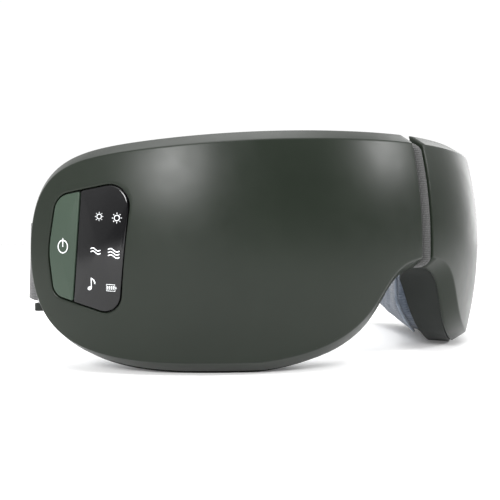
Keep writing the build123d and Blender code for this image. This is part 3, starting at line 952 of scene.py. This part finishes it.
def inflate(obj, cap):
    """Voxel remesh, a short cloth simulation under pressure, and a cap on how far a point may move."""
    bpy.ops.object.select_all(action="DESELECT")
    obj.select_set(True)
    bpy.context.view_layer.objects.active = obj
    remesh = obj.modifiers.new("Remesh", "REMESH")
    remesh.mode = "VOXEL"
    remesh.voxel_size = VOXEL * MM
    bpy.ops.object.modifier_apply(modifier=remesh.name)
    start = [v.co.copy() for v in obj.data.vertices]
    pinned = obj.vertex_groups.new(name="base")
    base = [v.index for v in obj.data.vertices if tube_depth(v.co) < PAD_FRONT + BASE_BAND]
    pinned.add(base, 1.0, "REPLACE")
    cloth = obj.modifiers.new("Cloth", "CLOTH")
    cloth.settings.quality = 6
    cloth.settings.mass = 0.15
    cloth.settings.tension_stiffness = 18
    cloth.settings.compression_stiffness = 18
    cloth.settings.bending_stiffness = 1.2
    cloth.settings.use_pressure = True
    cloth.settings.uniform_pressure_force = PUFF_PRESSURE
    cloth.settings.vertex_group_mass = "base"
    cloth.settings.effector_weights.gravity = 0.0
    cloth.point_cache.frame_start = 1
    cloth.point_cache.frame_end = PUFF_FRAMES
    for step in range(1, PUFF_FRAMES + 1):
        bpy.context.scene.frame_set(step)
    bpy.ops.object.modifier_apply(modifier=cloth.name)
    bpy.context.scene.frame_set(1)
    for vertex, was in zip(obj.data.vertices, start):
        move = vertex.co - was
        if move.length > cap * MM:
            vertex.co = was + move.normalized() * cap * MM
    obj.vertex_groups.clear()
    smooth = obj.modifiers.new("Smooth", "SMOOTH")
    smooth.iterations = 3
    smooth.factor = 0.5
    bpy.ops.object.modifier_apply(modifier=smooth.name)


def finish_pad(obj, body, node):
    """Inflate the pad, keep it off the frame, and give it its cover and its place."""
    inflate(obj, PUFF_CAP)
    floor_depth = PAD_FRONT + BASE_LIFT
    for vertex in obj.data.vertices:
        depth = tube_depth(vertex.co)
        if depth < floor_depth:
            inward = Vector((-vertex.co.x, AXIS_Y * MM - vertex.co.y, 0)).normalized()
            vertex.co += inward * (floor_depth - depth) * MM
    soft = obj.modifiers.new("Soft", "SUBSURF")
    soft.levels = 1
    soft.render_levels = 1
    obj.data.shade_smooth()
    dress(obj, pad_paint)
    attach(obj, body)
    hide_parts(node)


def piping(name, mirror, body, inset, depth, radius):
    """A round cord sewn round the side of a pad."""
    loop = loop_of(pad_outline(inset, depth))
    curve = bpy.data.curves.new(name, "CURVE")
    curve.dimensions = "3D"
    curve.bevel_depth = radius * MM
    curve.bevel_resolution = 3
    line = curve.splines.new("POLY")
    points = loop[::2]
    line.points.add(len(points) - 1)
    side = -1 if mirror else 1
    for point, place in zip(line.points, points):
        point.co = (side * place.x * MM, place.y * MM, place.z * MM, 1)
    line.use_cyclic_u = True
    obj = bpy.data.objects.new(name, curve)
    bpy.context.scene.collection.objects.link(obj)
    dress(obj, piping_paint)
    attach(obj, body)
    return obj


for side_name, mirrored in (("left", False), ("right", True)):
    half_body = side_name + "_half"
    pad = face_pad(side_name + "_pad_cover", mirrored)
    finish_pad(pad, half_body, side_name + "_face_pad")
    piping(side_name + "_pad_piping", mirrored, half_body, 3.6, 25.2, 0.55)

# ---- Bridge strip --------------------------------------------------------------------------------
strip = Builder()
STRIP_COLUMNS = 12
STRIP_ROWS = 48
STRIP_LOW, STRIP_HIGH = 32.8, 75.2
STRIP_CURL = 3.2        # how far the ends tuck in behind the shells
CURL_FROM = 0.86        # where the tuck begins, as a share of half the length
STRIP_SAG = 0.55
STRIP_SINK = 1.5
STRIP_TUCK = 0.05       # overlap of the strip's sides with the shells
strip_rows = []
for row in range(STRIP_ROWS + 1):
    height = mix(STRIP_LOW, STRIP_HIGH, row / STRIP_ROWS)
    rise = abs(row / STRIP_ROWS - 0.5) * 2
    curl = STRIP_CURL * max(0.0, rise - CURL_FROM) ** 2 / (1 - CURL_FROM) ** 2
    line = []
    for column in range(STRIP_COLUMNS + 1):
        x = mix(CENTRE_GAP - STRIP_TUCK, -CENTRE_GAP + STRIP_TUCK, column / STRIP_COLUMNS)
        sag = STRIP_SAG * (1 - (x / CENTRE_GAP) ** 2)
        place = on_face(0.0, height, STRIP_SINK + curl - sag)
        line.append(Vector((-x, place.y, height)))
    strip_rows.append(line)
for k, line in enumerate(strip_rows):
    strip.add(line, [(p.x, p.z) for p in line])
for row in range(len(strip_rows) - 1):
    for column in range(STRIP_COLUMNS):
        a = row * (STRIP_COLUMNS + 1) + column
        strip.faces.append((a, a + 1, a + STRIP_COLUMNS + 2, a + STRIP_COLUMNS + 1))
bridge = dress(strip.make("bridge_knit", weld=0.001), strip_paint)
thickness = bridge.modifiers.new("Thickness", "SOLIDIFY")
thickness.thickness = 0.9 * MM
thickness.offset = 0
bpy.context.view_layer.objects.active = bridge
bridge.select_set(True)
bpy.ops.object.modifier_apply(modifier=thickness.name)
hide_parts("bridge_strip")
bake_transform(bridge)

# ---- Strap ---------------------------------------------------------------------------------------
STRAP_STEPS = 160


def strap_place(turn, shift):
    """Plan point of the strap; turn runs from 0 at the -X temple to pi at the other."""
    x, y = -STRAP_HALF * cos(turn), STRAP_RISE * sin(turn)
    normal = Vector((x / STRAP_HALF ** 2, y / STRAP_RISE ** 2)).normalized()
    return Vector((x + shift * normal.x, PIVOT_Y + y + shift * normal.y))


strap = Builder()
profile = []
half_t = STRAP_T / 2 * 0.8
for shift, side_z in ((half_t, 1), (-half_t, -1)):
    heights = [k / 14 for k in range(15)]
    for part in heights:
        z = mix(STRAP_LOW + 0.5, STRAP_HIGH - 0.5, part if side_z > 0 else 1 - part)
        profile.append((shift, z))
    z_end = STRAP_HIGH if side_z > 0 else STRAP_LOW
    profile.append((0.0, z_end))
length = 0.0
last = None
strap_ids = []
for step in range(STRAP_STEPS + 1):
    turn = pi * step / STRAP_STEPS
    middle = strap_place(turn, 0.0)
    if last is not None:
        length += (middle - last).length
    last = middle
    ring, uvs = [], []
    lean = STRAP_LEAN * min(1.0, 4 * turn / pi, 4 * (pi - turn) / pi)
    for shift, z in profile:
        plan = strap_place(turn, shift - lean * (z - STRAP_LOW) / (STRAP_HIGH - STRAP_LOW))
        ring.append(Vector((plan.x, plan.y, z)))
        uvs.append((length, z))
    strap_ids.append(strap.add(ring, uvs))
for a, b in zip(strap_ids, strap_ids[1:]):
    for k in range(len(a)):
        n = (k + 1) % len(a)
        strap.faces.append((a[k], a[n], b[n], b[k]))
strap.faces.append(tuple(strap_ids[0]))
strap.faces.append(tuple(reversed(strap_ids[-1])))
strap_obj = dress(strap.make("head_strap", weld=0.001), strap_paint)
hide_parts("left_strap_band", "right_strap_band")
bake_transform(strap_obj)

# ---- Floor, light and camera ---------------------------------------------------------------------
bpy.ops.mesh.primitive_plane_add(size=6, location=(0, 0, 0))
floor = bpy.context.object
floor.name = "floor"
pale = Paint("pale_floor")
FLOOR_TONES = [(0.3, (0.955, 0.955, 0.955)), (0.7, (0.965, 0.965, 0.965))]
pale.ramp(pale.noise(2.0), "Fac", FLOOR_TONES, pale.shader, "Base Color")
pale.set(
    Roughness=0.9,
    Specular_IOR_Level=0.1,
    Emission_Color=(1, 1, 1, 1),
    Emission_Strength=0.1,
)
dress(floor, pale.material)


def softbox(name, place, target, size, power, tall=None):
    light = bpy.data.lights.new(name, "AREA")
    light.energy = power
    light.size = size
    if tall:
        light.shape = "RECTANGLE"
        light.size_y = tall
    obj = bpy.data.objects.new(name, light)
    obj.location = place
    obj.rotation_euler = (Vector(target) - Vector(place)).to_track_quat("-Z", "Y").to_euler()
    bpy.context.scene.collection.objects.link(obj)
    return obj


centre = (0, 0, 0.04)
softbox("key_light", (-0.35, -0.3, 1.2), centre, 0.5, 4)
softbox("left_front_light", (-0.95, -0.56, 0.56), centre, 0.36, 13)
softbox("right_front_light", (0.62, -0.86, 0.56), centre, 0.28, 6.5)
softbox("right_light", (1.2, 0.25, 0.45), centre, 0.4, 3, 0.9)
softbox("top_light", (0.1, 0.3, 1.4), centre, 1.2, 10)

# The room: white all round and overhead, darker low in front of the face, so its surface stays deep.
world = bpy.data.worlds.new("world")
bpy.context.scene.world = world
world.use_nodes = True
sky = world.node_tree
direction = sky.nodes.new("ShaderNodeTexCoord")
parts = sky.nodes.new("ShaderNodeSeparateXYZ")
lift = sky.nodes.new("ShaderNodeMath")
lift.operation = "MULTIPLY_ADD"
lift.inputs[1].default_value = 0.9
spread = sky.nodes.new("ShaderNodeMapRange")
spread.interpolation_type = "SMOOTHSTEP"
spread.inputs["From Min"].default_value = -0.6
spread.inputs["From Max"].default_value = 0.4
spread.inputs["To Min"].default_value = 0.16
spread.inputs["To Max"].default_value = 1.03
sky.links.new(direction.outputs["Generated"], parts.inputs["Vector"])
sky.links.new(parts.outputs["Z"], lift.inputs[0])
sky.links.new(parts.outputs["Y"], lift.inputs[2])
sky.links.new(lift.outputs["Value"], spread.inputs["Value"])
sky.links.new(spread.outputs["Result"], sky.nodes["Background"].inputs["Strength"])
sky.nodes["Background"].inputs["Color"].default_value = (1, 1, 1, 1)

CAMERA_SIDE, CAMERA_AHEAD, CAMERA_HEIGHT = -230.9, 158.9, 43.9     # from the front of the face, millimetres
camera_data = bpy.data.cameras.new("camera")
camera_data.lens = 58.4
camera_data.sensor_width = 36.0
camera_data.clip_start = 0.01
camera = bpy.data.objects.new("camera", camera_data)
camera.location = (CAMERA_SIDE * MM, (FRONT_Y - CAMERA_AHEAD) * MM, CAMERA_HEIGHT * MM)
camera.rotation_euler = (radians(90 - 1.147), 0, -radians(43.07))
bpy.context.scene.collection.objects.link(camera)
bpy.context.scene.camera = camera
bpy.context.scene.view_settings.view_transform = "Standard"
